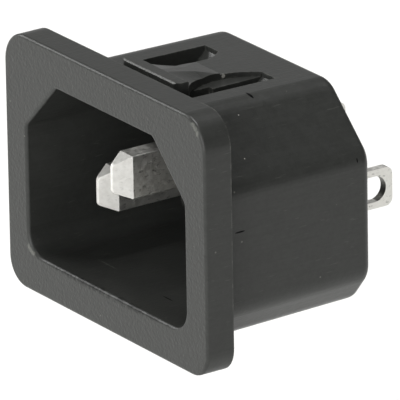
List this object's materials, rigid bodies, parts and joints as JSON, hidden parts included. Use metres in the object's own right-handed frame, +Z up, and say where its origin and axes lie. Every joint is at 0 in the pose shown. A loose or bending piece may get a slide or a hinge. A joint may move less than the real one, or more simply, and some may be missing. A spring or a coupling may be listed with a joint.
{
  "type": "panel inlet socket",
  "caption": "Snap-in C14 appliance inlet: face plate round a bevelled socket with flat contact blades, and a block behind it with a snap tongue, a rib and solder tabs.",
  "frame": {"origin": "centre of the flange's rear face, the plane that lies on the panel", "axes": "X to the right seen from the front, Y back into the equipment, Z up"},
  "size_m": [0.031, 0.0256, 0.024],
  "materials": {
    "black_plastic": "fine matt moulded texture",
    "tinned_brass": "satin tin plating over stamped brass"
  },
  "bodies": {
    "root": {"housing": "black_plastic", "line_contact": "tinned_brass", "neutral_contact": "tinned_brass", "earth_contact": "tinned_brass"}
  },
  "joints": []
}
